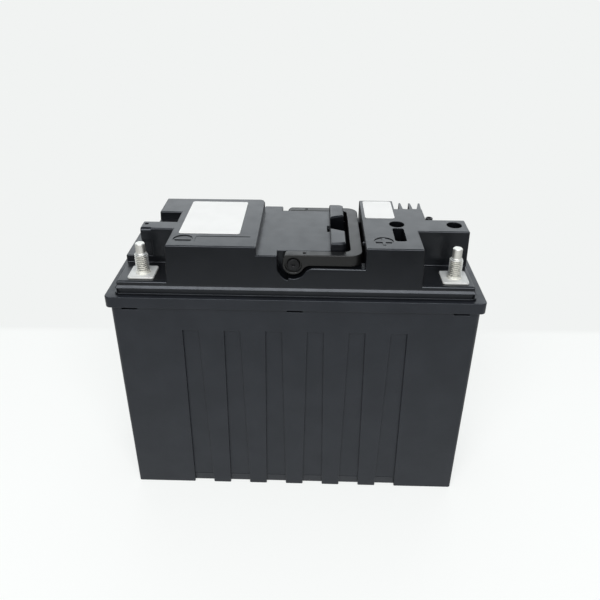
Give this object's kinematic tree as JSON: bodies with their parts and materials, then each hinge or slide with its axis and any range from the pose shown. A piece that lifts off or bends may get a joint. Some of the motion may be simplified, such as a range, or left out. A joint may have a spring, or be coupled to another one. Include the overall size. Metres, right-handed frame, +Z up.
{
  "type": "motorcycle battery",
  "caption": "Sealed starter battery in a ribbed black case, with an electronics housing on its cover, stud terminals at both ends of the front and a handle that folds flat.",
  "frame": {"origin": "middle of the base, on the surface that the battery stands on", "axes": "+X along the long side towards the positive stud, +Y from the front with both studs to the back, +Z up"},
  "size_m": [0.22, 0.087, 0.1787],
  "materials": {
    "case_plastic": "fine-grained black moulding",
    "cover_plastic": "satin black moulding",
    "handle_plastic": "satin black moulding",
    "nozzle_plastic": "satin black moulding",
    "seal_rubber": "soft black rubber",
    "pin_metal": "black coated steel",
    "screw_steel": "zinc plated",
    "plate_metal": "matt tin plate",
    "stud_metal": "tin plated steel",
    "label_film": "bare white label",
    "cell_can": "film-wrapped can",
    "spacer_sheet": "insulating sheet",
    "foam_pad": "closed-cell foam",
    "carrier_plastic": "natural moulding",
    "link_metal": "stamped strip",
    "bar_copper": "bare copper bar",
    "board_laminate": "green coated board",
    "switch_plastic": "moulded package",
    "shunt_metal": "resistance strip",
    "contact_brass": "plated pin"
  },
  "bodies": {
    "case": {"case_tub": "case_plastic", "cover_gasket": "seal_rubber", "top_cover": "cover_plastic", "cover_screws": "screw_steel", "vent_nozzle": "nozzle_plastic", "handle_pin_front": "pin_metal", "handle_pin_back": "pin_metal", "negative_plate": "plate_metal", "positive_plate": "plate_metal", "negative_stud": "stud_metal", "positive_stud": "stud_metal", "rating_label": "label_film", "code_label": "label_film", "cell_1": "cell_can", "cell_2": "cell_can", "cell_3": "cell_can", "cell_4": "cell_can", "cell_spacers": "spacer_sheet", "end_pads": "foam_pad", "cell_carrier": "carrier_plastic", "cell_links": "link_metal", "negative_cell_bar": "bar_copper", "negative_output_bar": "bar_copper", "positive_cell_bar": "bar_copper", "circuit_board": "board_laminate", "power_switches": "switch_plastic", "current_shunt": "shunt_metal", "board_screws": "screw_steel", "sense_pins": "contact_brass"},
    "handle": {"carry_handle": "handle_plastic"}
  },
  "joints": [
    {"name": "handle_swing", "type": "hinge", "parent": "case", "child": "handle", "pos_m": [-0.0009, 0, 0.1671], "axis": [0, -1, 0], "range_deg": [0, 105]}
  ]
}
